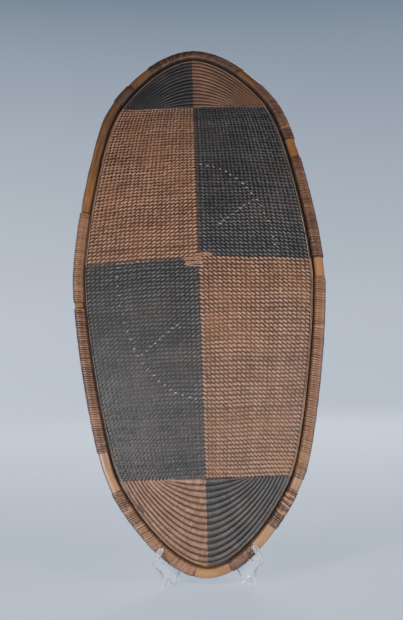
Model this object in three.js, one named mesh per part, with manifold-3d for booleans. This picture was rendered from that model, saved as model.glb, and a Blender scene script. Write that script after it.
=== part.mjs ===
// A bowed oval shield of twined fibre with a bound cane rim, standing in a clear easel.
// Millimetres, +Z up. The front faces -Y. The origin is on the floor, in the middle of the box.
import * as THREE from "three";
import { mergeVertices } from "three/addons/utils/BufferGeometryUtils.js";
import Module from "manifold-3d";

const wasm = await Module();
wasm.setup();

// Driving dimensions: the shield's form
const LENGTH = 1167; // tip to tip along the bowed middle line
const WIDTH = 502; // across the bound rim at mid length
const BOW_RADIUS = 1955; // lengthwise bow, convex to the front
const DISH = 28; // how far the middle stands out across the width
const LEAN = THREE.MathUtils.degToRad(21); // backward lean where the colour fields cross
const CROSSING = 32; // the fields cross this far above mid length
const FLOOR_CLEARANCE = 14; // lowest point of the rim above the floor

// Outline: long side arcs that meet pointed tips with round ends
const SIDE_TAPER = 99;
const SIDE_POWER = 1.5;
const TIP_GAIN = 12.2;
const TIP_POWER = 0.53;
const SHOULDER_SHARPNESS = 24;

// The woven body: fields of straight rows, then tips of nested ribs
const BODY_THICKNESS = 7;
const FIELD_TOP = 408; // the line where the upper tip starts, from mid length
const FIELD_BOTTOM = -396;
const FIELD_ROWS = 104;
const TIP_RIBS = 13;
const TIP_FLAT = 68; // half width of the straight innermost rib
const ROW_RELIEF = 1.6;
const RIB_RELIEF = 2.4;
const BODY_COLUMNS = 6;
const TIP_COLUMNS = 10;
const BACK_LINES = 20;
const EDGE_SAMPLES = 400;

// The rim: a cane hoop, and the stretches of it that are wound with strip
const RIM_WIDTH = 26;
const RIM_DEPTH = 23;
const RIM_RISE = 4; // the hoop's middle stands this far in front of the body's
const BINDING = 2.2; // thickness of the wound strip
const RIM_STATIONS = 68;
const RIM_SIDES = 8;
const GAP = 0.35; // between pieces that touch
const BODY_INSET = RIM_WIDTH + 1;
// Wound stretches, in millimetres round the rim, clockwise from the upper tip seen from the front
const WOUND = [
  [190, 364], [411, 648], [690, 1093], [1117, 1199], [1251, 1314],
  [1391, 1614], [1691, 1984], [1993, 2192], [2482, 2538], [2604, 2856],
];

// What is sewn on the back: an oval hoop, four struts and a grip
const BACK_HOOP_HALF_WIDTH = 160;
const BACK_HOOP_HALF_LENGTH = 247;
const BACK_ROD = 9;
const BACK_HOOP_STATIONS = 36;
const BACK_HOOP_SIDES = 6;
const STRUT_OUT = [114, 159];
const STRUT_IN = [17, 77];
const GRIP_LENGTH = 250;
const GRIP_WIDTH = 24;
const GRIP_DEPTH = 17;
const GRIP_REACH = 44; // finger gap behind the body at the middle of the grip
const GRIP_STATIONS = 16;

// The easel: two alike plates that cross in a half-lap
const PLATE = 8;
const TOE_OUT = THREE.MathUtils.degToRad(35);
const FRONT_FOOT_REACH = 153; // from the crossing of the plates to the middle of a front foot
const LAP_HEIGHT = 72;
const LAP_BEHIND_TIP = 108; // the plates cross this far behind the lower tip

const HALF_LENGTH = LENGTH / 2;

// Outer half width at a signed distance from mid length
function halfWidth(along) {
  const u = Math.min(Math.abs(along) / HALF_LENGTH, 1);
  const side = WIDTH / 2 - SIDE_TAPER * u ** SIDE_POWER;
  const tip = TIP_GAIN * (HALF_LENGTH * (1 - u)) ** TIP_POWER;
  if (tip < 1e-6) return 0;
  return (side ** -SHOULDER_SHARPNESS + tip ** -SHOULDER_SHARPNESS) ** (-1 / SHOULDER_SHARPNESS);
}

// The bow's forward direction at a distance from mid length
function forward(along) {
  const angle = (along - CROSSING) / BOW_RADIUS + LEAN;
  return new THREE.Vector3(0, -Math.cos(angle), Math.sin(angle));
}

// A place on the shield: across, along the bow, and in front of the middle surface
function place(across, along, front = 0) {
  const u = Math.min(Math.abs(along) / HALF_LENGTH, 1);
  const half = Math.max(halfWidth(along), 1);
  const bulge = DISH * (1 - u * u) ** 2 * Math.max(1 - (across / half) ** 2, 0);
  const start = LEAN - (HALF_LENGTH + CROSSING) / BOW_RADIUS;
  const angle = (along - CROSSING) / BOW_RADIUS + LEAN;
  const back = BOW_RADIUS * (Math.cos(start) - Math.cos(angle));
  const up = BOW_RADIUS * (Math.sin(angle) - Math.sin(start)) + FLOOR_CLEARANCE;
  return new THREE.Vector3(across, back, up).addScaledVector(forward(along), bulge + front);
}

// The outline as a closed curve: turn runs clockwise from the upper tip, seen from the front
function outline(turn) {
  const along = HALF_LENGTH * Math.cos(turn);
  return new THREE.Vector2(Math.sign(Math.sin(turn)) * halfWidth(along), along);
}

// Unit vector out of the outline, in the plane of across and along
function outward(turn) {
  const step = 0.004;
  const a = outline(turn - step);
  const b = outline(turn + step);
  return new THREE.Vector2(a.y - b.y, b.x - a.x).normalize();
}

// The outline drawn in by a distance, sampled down one side
class Edge {
  constructor(inset) {
    this.points = [];
    for (let i = 0; i <= EDGE_SAMPLES; i += 1) {
      const turn = (Math.PI * i) / EDGE_SAMPLES;
      const point = outline(turn).addScaledVector(outward(turn), -inset);
      if (i % EDGE_SAMPLES === 0) point.x = 0;
      this.points.push(point);
    }
  }

  halfWidth(along) {
    const i = this.points.findIndex((point) => point.y <= along);
    if (i <= 0) return 0;
    const [a, b] = [this.points[i - 1], this.points[i]];
    return THREE.MathUtils.lerp(a.x, b.x, (a.y - along) / (a.y - b.y));
  }

  // How far the edge lies beyond a tip line, at a distance across
  tipDepth(line, across) {
    const side = Math.sign(line);
    let inner = Math.abs(line);
    let outer = Math.abs(side > 0 ? this.points[0].y : this.points[EDGE_SAMPLES].y);
    for (let i = 0; i < 40; i += 1) {
      const middle = (inner + outer) / 2;
      if (this.halfWidth(side * middle) > Math.abs(across)) inner = middle;
      else outer = middle;
    }
    return inner - Math.abs(line);
  }
}

// A mesh under construction: points, and triangles between them
class Skin {
  constructor() {
    this.points = [];
    this.faces = [];
  }

  add(point) {
    this.points.push(point.x, point.y, point.z);
    return this.points.length / 3 - 1;
  }

  // Two chains of points, joined by triangles in the order of their keys
  join(a, b, key) {
    let i = 0;
    let j = 0;
    while (i < a.length - 1 || j < b.length - 1) {
      const stepA = j === b.length - 1 || (i < a.length - 1 && key(a[i + 1]) <= key(b[j + 1]));
      if (stepA) {
        this.faces.push(a[i], a[i + 1], b[j]);
        i += 1;
      } else {
        this.faces.push(a[i], b[j + 1], b[j]);
        j += 1;
      }
    }
  }

  geometry() {
    const geometry = new THREE.BufferGeometry();
    geometry.setAttribute("position", new THREE.Float32BufferAttribute(this.points, 3));
    geometry.setIndex(this.faces.filter((_, n, all) => {
      const [a, b, c] = all.slice(n - (n % 3), n - (n % 3) + 3);
      return a !== b && b !== c && c !== a;
    }));
    return faceOut(geometry);
  }
}

// Turns a closed mesh inside out if its faces point in
function faceOut(geometry) {
  const p = geometry.attributes.position;
  const index = geometry.index.array;
  const [a, b, c] = [new THREE.Vector3(), new THREE.Vector3(), new THREE.Vector3()];
  let volume = 0;
  for (let i = 0; i < index.length; i += 3) {
    a.fromBufferAttribute(p, index[i]);
    b.fromBufferAttribute(p, index[i + 1]);
    c.fromBufferAttribute(p, index[i + 2]);
    volume += a.dot(b.cross(c));
  }
  if (volume < 0) geometry.setIndex(Array.from(index).reverse());
  return geometry;
}

// A closed solid from a list of rings of points; looped joins the last ring to the first
function loft(rings, looped) {
  const skin = new Skin();
  const ids = rings.map((ring) => ring.map((point) => skin.add(point)));
  const sides = rings[0].length;
  const spans = looped ? ids.length : ids.length - 1;
  for (let i = 0; i < spans; i += 1) {
    const a = ids[i];
    const b = ids[(i + 1) % ids.length];
    for (let j = 0; j < sides; j += 1) {
      const k = (j + 1) % sides;
      skin.faces.push(a[j], b[j], b[k], a[j], b[k], a[k]);
    }
  }
  if (!looped) {
    const last = ids[ids.length - 1];
    for (let j = 1; j < sides - 1; j += 1) {
      skin.faces.push(ids[0][0], ids[0][j], ids[0][j + 1]);
      skin.faces.push(last[0], last[j + 1], last[j]);
    }
  }
  return skin.geometry();
}

// One face of the woven body. The front has a crest and a valley for every row and rib
function bodyFace(skin, edge, lines, levels, height) {
  const keys = [];
  const put = (across, along, relief) => {
    const id = skin.add(place(across, along, height + relief));
    keys[id] = { across, along };
    return id;
  };
  const field = lines.map(({ along, relief }) => {
    const half = edge.halfWidth(along);
    const row = [];
    for (let i = 0; i <= BODY_COLUMNS; i += 1) {
      row.push(put(half * ((2 * i) / BODY_COLUMNS - 1), along, relief));
    }
    return row;
  });
  const across = (id) => keys[id].across;
  for (let i = 0; i < field.length - 1; i += 1) skin.join(field[i], field[i + 1], across);

  const tips = [FIELD_BOTTOM, FIELD_TOP].map((line) => {
    const side = Math.sign(line);
    const half = edge.halfWidth(line);
    const rows = levels.map(({ level, relief }) => {
      const start = THREE.MathUtils.lerp(TIP_FLAT, half, level);
      const row = [];
      for (let i = 0; i <= TIP_COLUMNS; i += 1) {
        const t = (2 * i) / TIP_COLUMNS - 1;
        const atLine = i === 0 || i === TIP_COLUMNS;
        const depth = atLine ? 0 : level * edge.tipDepth(line, half * t);
        row.push(put(start * t, line + side * depth, atLine ? 0 : relief));
      }
      return row;
    });
    for (let i = 0; i < rows.length - 1; i += 1) {
      if (side > 0) skin.join(rows[i], rows[i + 1], (id) => across(id) / half);
      else skin.join(rows[i + 1], rows[i], (id) => across(id) / half);
    }
    const chain = rows.map((row) => row[0]).reverse();
    chain.push(...rows[0].slice(1, -1));
    chain.push(...rows.map((row) => row[TIP_COLUMNS]));
    if (side > 0) skin.join(field[field.length - 1], chain, across);
    else skin.join(chain, field[0], across);
    return rows[rows.length - 1];
  });
  const left = [tips[0][0], ...field.map((row) => row[0]), tips[1][0]];
  const right = [tips[0], field, tips[1]].flatMap((part) =>
    Array.isArray(part[0]) ? part.map((row) => row[BODY_COLUMNS]) : [part[TIP_COLUMNS]]);
  return { left, right, bottom: tips[0], top: tips[1], keys };
}

function wovenBody(thickness, inset) {
  const skin = new Skin();
  const edge = new Edge(inset);
  const pitch = (FIELD_TOP - FIELD_BOTTOM) / FIELD_ROWS;
  const frontLines = [];
  for (let i = 1; i < 2 * FIELD_ROWS; i += 1) {
    const crest = i % 2 === 1;
    frontLines.push({ along: FIELD_BOTTOM + (i * pitch) / 2, relief: crest ? ROW_RELIEF : 0 });
  }
  const frontLevels = [];
  for (let i = 0; i <= 2 * TIP_RIBS; i += 1) {
    frontLevels.push({ level: i / (2 * TIP_RIBS), relief: i % 2 === 1 ? RIB_RELIEF : 0 });
  }
  const backLines = [];
  for (let i = 1; i < BACK_LINES; i += 1) {
    const along = THREE.MathUtils.lerp(FIELD_BOTTOM, FIELD_TOP, i / BACK_LINES);
    backLines.push({ along, relief: 0 });
  }
  const backLevels = [0, 0.5, 1].map((level) => ({ level, relief: 0 }));
  const front = bodyFace(skin, edge, frontLines, frontLevels, thickness / 2);
  const frontCount = skin.faces.length;
  const back = bodyFace(skin, edge, backLines, backLevels, -thickness / 2);
  for (let i = frontCount; i < skin.faces.length; i += 3) {
    [skin.faces[i], skin.faces[i + 1]] = [skin.faces[i + 1], skin.faces[i]];
  }
  const key = (id) => front.keys[id] ?? back.keys[id];
  skin.join(front.left, back.left, (id) => key(id).along);
  skin.join(back.right, front.right, (id) => key(id).along);
  skin.join(back.bottom, front.bottom, (id) => key(id).across);
  skin.join(front.top, back.top, (id) => key(id).across);
  return skin.geometry();
}

// The rim's frames: middle, outward and forward directions at every station
const RIM_FRAMES = [];
for (let i = 0; i < RIM_STATIONS; i += 1) {
  const turn = (2 * Math.PI * i) / RIM_STATIONS;
  const flat = outline(turn);
  const out = outward(turn);
  const middle = flat.clone().addScaledVector(out, -RIM_WIDTH / 2);
  const near = flat.clone().addScaledVector(out, -RIM_WIDTH / 2 - 1);
  const ahead = forward(middle.y);
  const centre = place(middle.x, middle.y).addScaledVector(ahead, RIM_RISE);
  const inside = place(near.x, near.y).addScaledVector(ahead, RIM_RISE);
  const outDirection = centre.clone().sub(inside);
  outDirection.addScaledVector(ahead, -outDirection.dot(ahead)).normalize();
  RIM_FRAMES.push({ centre, outDirection, ahead });
}

// The rim's section at a station, which may lie between two frames
function rimSection(station, width, depth) {
  const i = Math.floor(station);
  const t = station - i;
  const a = RIM_FRAMES[((i % RIM_STATIONS) + RIM_STATIONS) % RIM_STATIONS];
  const b = RIM_FRAMES[(i + 1 + RIM_STATIONS) % RIM_STATIONS];
  const ring = [];
  for (let j = 0; j < RIM_SIDES; j += 1) {
    const angle = (2 * Math.PI * (j + 0.5)) / RIM_SIDES;
    const corner = 1 / Math.cos(Math.PI / RIM_SIDES);
    const across = (Math.cos(angle) * width * corner) / 2;
    const ahead = (Math.sin(angle) * depth * corner) / 2;
    const [p, q] = [a, b].map((frame) => frame.centre.clone()
      .addScaledVector(frame.outDirection, across).addScaledVector(frame.ahead, ahead));
    ring.push(p.lerp(q, t));
  }
  return ring;
}

function rimHoop(extra) {
  const rings = [];
  for (let i = 0; i < RIM_STATIONS; i += 1) {
    rings.push(rimSection(i, RIM_WIDTH + extra, RIM_DEPTH + extra));
  }
  return loft(rings, true);
}

// Stations by distance round the rim's outer edge
const RIM_DISTANCE = [0];
for (let i = 1; i <= RIM_STATIONS; i += 1) {
  const steps = 8;
  let length = 0;
  for (let j = 0; j < steps; j += 1) {
    const a = outline((2 * Math.PI * (i - 1 + j / steps)) / RIM_STATIONS);
    const b = outline((2 * Math.PI * (i - 1 + (j + 1) / steps)) / RIM_STATIONS);
    length += a.distanceTo(b);
  }
  RIM_DISTANCE.push(RIM_DISTANCE[i - 1] + length);
}

function stationAt(distance) {
  const round = RIM_DISTANCE[RIM_STATIONS];
  const laps = Math.floor(distance / round);
  const rest = distance - laps * round;
  const i = RIM_DISTANCE.findIndex((d) => d > rest) - 1;
  const t = (rest - RIM_DISTANCE[i]) / (RIM_DISTANCE[i + 1] - RIM_DISTANCE[i]);
  return laps * RIM_STATIONS + i + t;
}

// A wound stretch: a sleeve that follows the hoop, open at both ends
function rimBinding(from, to) {
  const first = stationAt(from);
  const last = stationAt(to);
  const stations = [first];
  for (let i = Math.floor(first) + 1; i < last; i += 1) stations.push(i);
  stations.push(last);
  const inner = 2 * GAP - 2 * BINDING;
  const outer = stations.map((station) => rimSection(station, RIM_WIDTH, RIM_DEPTH));
  const hollow = stations.map((station) => rimSection(station, RIM_WIDTH + inner, RIM_DEPTH + inner));
  const skin = new Skin();
  const ids = [...outer, ...hollow.reverse()].map((ring) => ring.map((point) => skin.add(point)));
  ids.forEach((ring, i) => {
    const next = ids[(i + 1) % ids.length];
    for (let j = 0; j < RIM_SIDES; j += 1) {
      const k = (j + 1) % RIM_SIDES;
      skin.faces.push(ring[j], next[j], next[k], ring[j], next[k], ring[k]);
    }
  });
  return skin.geometry();
}

// A round rod on the shield's back through points given across and along
function backRod(route, looped, sides) {
  const radius = BACK_ROD / 2;
  const front = -BODY_THICKNESS / 2 - GAP - radius;
  const rings = route.map((point, i) => {
    const before = route[looped ? (i + route.length - 1) % route.length : Math.max(i - 1, 0)];
    const after = route[looped ? (i + 1) % route.length : Math.min(i + 1, route.length - 1)];
    const run = place(after.x, after.y, front).sub(place(before.x, before.y, front)).normalize();
    const ahead = forward(point.y);
    ahead.addScaledVector(run, -ahead.dot(run)).normalize();
    const side = run.clone().cross(ahead);
    const ring = [];
    for (let j = 0; j < sides; j += 1) {
      const angle = (2 * Math.PI * j) / sides;
      ring.push(place(point.x, point.y, front).addScaledVector(side, radius * Math.cos(angle))
        .addScaledVector(ahead, radius * Math.sin(angle)));
    }
    return ring;
  });
  return loft(rings, looped);
}

function backHoop() {
  const route = [];
  for (let i = 0; i < BACK_HOOP_STATIONS; i += 1) {
    const turn = (2 * Math.PI * i) / BACK_HOOP_STATIONS;
    const across = BACK_HOOP_HALF_WIDTH * Math.sin(turn);
    route.push(new THREE.Vector2(across, BACK_HOOP_HALF_LENGTH * Math.cos(turn)));
  }
  return backRod(route, true, BACK_HOOP_SIDES);
}

// A strut from the grip's end towards the hoop, in one quarter of the back
function backStrut(sideways, upward) {
  const route = [];
  const pieces = 3;
  for (let i = 0; i <= pieces; i += 1) {
    const across = THREE.MathUtils.lerp(STRUT_IN[0], STRUT_OUT[0], i / pieces);
    const along = THREE.MathUtils.lerp(STRUT_IN[1], STRUT_OUT[1], i / pieces);
    route.push(new THREE.Vector2(sideways * across, upward * along));
  }
  return backRod(route, false, BACK_HOOP_SIDES);
}

// The grip: a bar along the middle whose ends lie on the back and whose middle stands off
function grip() {
  const rings = [];
  const sides = 8;
  for (let i = 0; i <= GRIP_STATIONS; i += 1) {
    const t = (2 * i) / GRIP_STATIONS - 1;
    const along = (GRIP_LENGTH / 2) * t;
    const arch = GRIP_REACH * (1 - THREE.MathUtils.smoothstep(Math.abs(t), 0.35, 0.8));
    const taper = 1 - 0.35 * Math.abs(t) ** 4;
    const depth = (GRIP_DEPTH / 2) * taper;
    const front = -BODY_THICKNESS / 2 - GAP - depth - arch;
    const ring = [];
    for (let j = 0; j < sides; j += 1) {
      const angle = (2 * Math.PI * (j + 0.5)) / sides;
      const across = (GRIP_WIDTH / 2) * taper * Math.cos(angle);
      ring.push(place(0, along, front + depth * Math.sin(angle)).setX(across));
    }
    rings.push(ring);
  }
  return loft(rings, false);
}

// Closed mesh to solid and back, for cuts
function toSolid(geometry) {
  const bare = geometry.clone();
  bare.deleteAttribute("normal");
  bare.deleteAttribute("uv");
  const merged = mergeVertices(bare, 1e-4);
  return new wasm.Manifold(new wasm.Mesh({
    numProp: 3,
    vertProperties: new Float32Array(merged.attributes.position.array),
    triVerts: new Uint32Array(merged.index.array),
  }));
}

function toGeometry(solid) {
  const mesh = solid.getMesh();
  const geometry = new THREE.BufferGeometry();
  geometry.setAttribute("position", new THREE.BufferAttribute(mesh.vertProperties.slice(), 3));
  geometry.setIndex(new THREE.BufferAttribute(mesh.triVerts.slice(), 1));
  return geometry;
}

// A plate's outline, in its own plane: reach forward from the lap, and height
function plateShape() {
  const spline = (shape, ...points) =>
    shape.splineThru(points.map(([reach, height]) => new THREE.Vector2(reach, height)));
  const foot = FRONT_FOOT_REACH;
  const shape = new THREE.Shape();
  shape.moveTo(-162, 0);
  shape.lineTo(-140, 0);
  spline(shape, [-132, 12], [-108, 22], [-60, 27], [0, 28], [60, 27], [100, 23]);
  spline(shape, [foot - 44, 14], [foot - 42, 5], [foot - 34, 2.5], [foot - 28, 8], [foot - 26, 17]);
  spline(shape, [foot - 16, 16], [foot - 9, 8], [foot - 7, 0]);
  shape.lineTo(foot + 7, 0);
  spline(shape, [foot + 6, 9], [foot - 1, 18], [foot - 3, 26], [foot + 5, 36], [foot + 19, 46]);
  spline(shape, [foot + 22, 54], [foot + 16, 64], [foot + 4, 76], [foot - 2, 78], [foot - 1, 71]);
  spline(shape, [foot + 8, 61], [foot + 9, 54], [foot - 2, 47]);
  shape.lineTo(foot - 26, 56);
  shape.lineTo(foot - 27, 90);
  shape.lineTo(foot - 41, 248);
  spline(shape, [foot - 46, 254], [foot - 53, 252], [foot - 56, 244]);
  spline(shape, [foot - 62, 190], [foot - 78, 150], [foot - 110, 128], [0, 118]);
  spline(shape, [-50, 103], [-100, 70], [-140, 26], [-162, 0]);
  return shape;
}

// A plate whose front leg stands out to one side, in place under the shield
function standPlace(sideways) {
  const upright = new THREE.Matrix4().makeRotationX(Math.PI / 2);
  const turned = new THREE.Matrix4().makeRotationZ(-Math.PI / 2 + sideways * TOE_OUT);
  const moved = new THREE.Matrix4().makeTranslation(0, LAP_BEHIND_TIP, 0);
  return moved.multiply(turned).multiply(upright);
}

function plateBlank(sideways) {
  const geometry = new THREE.ExtrudeGeometry(plateShape(), {
    depth: PLATE,
    bevelEnabled: false,
    curveSegments: 2,
  });
  geometry.translate(0, 0, -PLATE / 2);
  return toSolid(geometry.applyMatrix4(standPlace(sideways)));
}

// The room that the other plate takes in the half-lap
function lapRoom(sideways, upper) {
  const height = 200;
  const lift = upper ? LAP_HEIGHT - GAP / 2 + height / 2 : LAP_HEIGHT + GAP / 2 - height / 2;
  const room = new THREE.BoxGeometry(6 * PLATE, height, PLATE + 2 * GAP).translate(0, lift, 0);
  return toSolid(room.applyMatrix4(standPlace(sideways)));
}

const rimRoom = toSolid(rimHoop(2 * GAP));
const bodyRoom = toSolid(wovenBody(BODY_THICKNESS + 4 * GAP, BODY_INSET - 2 * GAP));

function standPlate(sideways) {
  const plate = plateBlank(sideways).subtract(rimRoom).subtract(bodyRoom);
  return toGeometry(plate.subtract(lapRoom(-sideways, sideways > 0)));
}

// The pieces, each with its own material
const shield = new THREE.Group();

function piece(name, geometry, color, roughness, extra = {}) {
  const material = new THREE.MeshStandardMaterial({ color, roughness, metalness: 0, ...extra });
  const mesh = new THREE.Mesh(geometry, material);
  mesh.name = name;
  shield.add(mesh);
  return mesh;
}

piece("woven_body", wovenBody(BODY_THICKNESS, BODY_INSET), 0x6b4630, 0.7);
piece("rim_hoop", rimHoop(-2 * BINDING), 0xa8672f, 0.5);
WOUND.forEach(([from, to], i) => {
  piece(`rim_binding_${i + 1}`, rimBinding(from, to), 0x5e3825, 0.6);
});
piece("back_hoop", backHoop(), 0x9a6838, 0.6);
const quarters = { upper_left: [-1, 1], upper_right: [1, 1], lower_left: [-1, -1], lower_right: [1, -1] };
Object.entries(quarters).forEach(([name, [sideways, upward]]) => {
  piece(`back_strut_${name}`, backStrut(sideways, upward), 0x9a6838, 0.6);
});
piece("grip", grip(), 0x6e4526, 0.55);
const clear = { transparent: true, opacity: 0.35 };
piece("stand_plate_left", standPlate(-1), 0xe8eef4, 0.1, clear);
piece("stand_plate_right", standPlate(1), 0xe8eef4, 0.1, clear);

// The origin goes to the floor, in the middle of the whole object's box
const box = new THREE.Box3().setFromObject(shield);
const middle = box.getCenter(new THREE.Vector3());
shield.position.set(-middle.x, -middle.y, -box.min.z);

export default shield;
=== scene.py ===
import math

import bmesh
import bpy
import numpy as np
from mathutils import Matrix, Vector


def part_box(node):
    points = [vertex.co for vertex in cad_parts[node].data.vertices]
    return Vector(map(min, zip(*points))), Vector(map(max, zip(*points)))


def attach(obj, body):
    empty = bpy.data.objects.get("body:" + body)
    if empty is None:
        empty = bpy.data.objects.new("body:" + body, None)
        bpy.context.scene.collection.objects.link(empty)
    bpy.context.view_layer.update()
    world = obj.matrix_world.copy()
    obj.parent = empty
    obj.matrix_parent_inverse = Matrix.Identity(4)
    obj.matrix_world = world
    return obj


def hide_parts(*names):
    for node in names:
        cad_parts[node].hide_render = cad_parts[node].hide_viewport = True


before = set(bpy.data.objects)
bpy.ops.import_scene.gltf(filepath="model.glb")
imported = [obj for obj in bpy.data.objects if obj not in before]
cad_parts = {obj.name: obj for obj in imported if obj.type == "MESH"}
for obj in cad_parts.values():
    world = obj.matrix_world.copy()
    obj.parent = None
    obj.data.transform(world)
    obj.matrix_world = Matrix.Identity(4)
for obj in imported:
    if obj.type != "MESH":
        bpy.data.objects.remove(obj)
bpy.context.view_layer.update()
rng = np.random.default_rng(20)

# The shield's form, in metres, as the frame has it
LENGTH = 1.167
WIDTH = 0.502
BOW_RADIUS = 1.955
DISH = 0.028
LEAN = math.radians(21)
CROSSING = 0.032
FLOOR_CLEARANCE = 0.014
SIDE_TAPER = 0.099
SIDE_POWER = 1.5
TIP_GAIN = 0.0122
TIP_POWER = 0.53
SHOULDER_SHARPNESS = 24
SHOULDER_SCALE = 0.25
HALF_LENGTH = LENGTH / 2
BOW_START = LEAN - (HALF_LENGTH + CROSSING) / BOW_RADIUS
MILLIMETRES = 1000
LEAST_TO_TIP = 1e-6
LEAST_HALF_WIDTH = 0.001
OUTLINE_POINTS = 2720
OUTLINE_FINENESS = 8000
TANGENT_REACH = 3

# The weave
FIELD_TOP = 0.408
FIELD_BOTTOM = -0.396
FIELD_ROWS = 104
STITCHES_PER_SIDE = 24
FIELD_INSET = 0.0302
LEFT_GAIN = 0.0026
BODY_BACK = -0.0035
GROUND_FRONT = 0.0004

# The rim
RIM_WIDTH = 0.0234
RIM_DEPTH = 0.023
RIM_RISE = 0.004
RIM_NEARBY = 0.001
STRIP_PITCH = 0.0045
STRIP_THICKNESS = 0.0022
FIT_STEP = 0.01


# Form

def half_width(along):
    """Outer half width of the shield at a distance from mid length."""
    u = np.clip(np.abs(along) / HALF_LENGTH, 0, 1)
    side = WIDTH / 2 - SIDE_TAPER * u ** SIDE_POWER
    tip_side = TIP_GAIN * np.maximum((HALF_LENGTH * (1 - u)) * MILLIMETRES, LEAST_TO_TIP) ** TIP_POWER
    n = SHOULDER_SHARPNESS
    blend = (side / SHOULDER_SCALE) ** -n + (tip_side / SHOULDER_SCALE) ** -n
    return blend ** (-1 / n) * SHOULDER_SCALE


def bow_angle(along):
    return (along - CROSSING) / BOW_RADIUS + LEAN


def place(flat):
    """Flat places (across, along, front of the middle surface) on the bowed and dished shield."""
    across, along, front = flat[..., 0], flat[..., 1], flat[..., 2]
    u = np.clip(np.abs(along) / HALF_LENGTH, 0, 1)
    half = np.maximum(half_width(along), LEAST_HALF_WIDTH)
    bulge = DISH * (1 - u * u) ** 2 * np.maximum(1 - (across / half) ** 2, 0)
    angle = bow_angle(along)
    out = bulge + front
    back = BOW_RADIUS * (math.cos(BOW_START) - np.cos(angle)) - out * np.cos(angle)
    up = BOW_RADIUS * (np.sin(angle) - math.sin(BOW_START)) + FLOOR_CLEARANCE + out * np.sin(angle)
    return np.stack([across, back, up], -1) + SHIFT


def forward(along):
    angle = bow_angle(along)
    return np.stack([np.zeros_like(angle), -np.cos(angle), np.sin(angle)], -1)


def unit(vectors):
    return vectors / np.linalg.norm(vectors, axis=-1, keepdims=True)


def loop_run(points, reach=1):
    """Directions along a closed line of points."""
    return unit(np.roll(points, -reach, 0) - np.roll(points, reach, 0))


def outline_samples(count):
    """The outline in even steps, clockwise from the upper tip: points, outward directions, length."""
    turn = np.linspace(0, 2 * math.pi, OUTLINE_FINENESS + 1)
    along = HALF_LENGTH * np.cos(turn)
    across = np.sign(np.sin(turn)) * half_width(along)
    across[[0, OUTLINE_FINENESS // 2, OUTLINE_FINENESS]] = 0
    run = np.concatenate([[0], np.cumsum(np.hypot(np.diff(across), np.diff(along)))])
    even = np.linspace(0, run[-1], count, endpoint=False)
    points = np.stack([np.interp(even, run, across), np.interp(even, run, along)], -1)
    tangent = loop_run(points, TANGENT_REACH)
    return points, np.stack([-tangent[:, 1], tangent[:, 0]], -1), run[-1]


# The shift stays nothing until the rim has been compared with the frame's
SHIFT = np.zeros(3)
OUTLINE, OUTWARD, RIM_LENGTH = outline_samples(OUTLINE_POINTS)


def edge(inset):
    """The outline drawn in, as closed points (across, along)."""
    return OUTLINE - OUTWARD * inset


def rim_frame(run):
    """Middle, outward and forward directions of the rim at distances round it."""
    at = (np.asarray(run) / RIM_LENGTH * len(OUTLINE)) % len(OUTLINE)
    i = np.floor(at).astype(int)
    t = (at - i)[..., None]
    j = (i + 1) % len(OUTLINE)
    flat = edge(RIM_WIDTH / 2)
    near = edge(RIM_WIDTH / 2 + RIM_NEARBY)
    middle = flat[i] * (1 - t) + flat[j] * t
    inside = near[i] * (1 - t) + near[j] * t
    ahead = forward(middle[..., 1])
    zero = np.zeros(middle.shape[:-1] + (1,))
    centre = place(np.concatenate([middle, zero], -1)) + ahead * RIM_RISE
    out = centre - place(np.concatenate([inside, zero], -1)) - ahead * RIM_RISE
    out -= ahead * (out * ahead).sum(-1, keepdims=True)
    return centre, unit(out), ahead


def fit_to_frame():
    """How far the formula's rim lies from the frame's."""
    centre, out, _ = rim_frame(np.arange(0, RIM_LENGTH, FIT_STEP))
    low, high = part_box("rim_hoop")
    ends = [centre + out * RIM_WIDTH / 2, centre - out * RIM_WIDTH / 2]
    across = [min(e[:, 0].min() for e in ends), max(e[:, 0].max() for e in ends)]
    foremost = (centre[:, 1] - RIM_DEPTH / 2).min()
    return np.array([
        (low[0] + high[0] - across[0] - across[1]) / 2,
        low[1] - STRIP_THICKNESS - foremost,
        0.0,
    ])


SHIFT = fit_to_frame()


def half_at(inset):
    """A function for the half width of the drawn-in outline at a distance from mid length."""
    points = edge(inset)[1:len(OUTLINE) // 2]
    order = np.argsort(points[:, 1])
    return lambda along: np.interp(along, points[order, 1], np.maximum(points[order, 0], 0), 0, 0)


edge_half = half_at(FIELD_INSET)


def left_gain(along):
    """How much nearer to the rim the left fields reach than the right ones."""
    return LEFT_GAIN * np.clip(1 - (along / FIELD_TOP) ** 2, 0, 1)


def field_half(along, side):
    """Half width of the woven fields on one side."""
    return edge_half(along) + (left_gain(along) if side < 0 else 0)


# Mesh making

LEAST_STEP = 1e-9
STRAND_SIDES = 6


def signed_volume(verts, faces):
    """Volume inside closed faces: below zero when they face inward."""
    total = 0.0
    for part in faces:
        a = verts[part[:, 0]]
        for k in range(1, part.shape[1] - 1):
            total += (a * np.cross(verts[part[:, k]], verts[part[:, k + 1]])).sum() / 6
    return total


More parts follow.
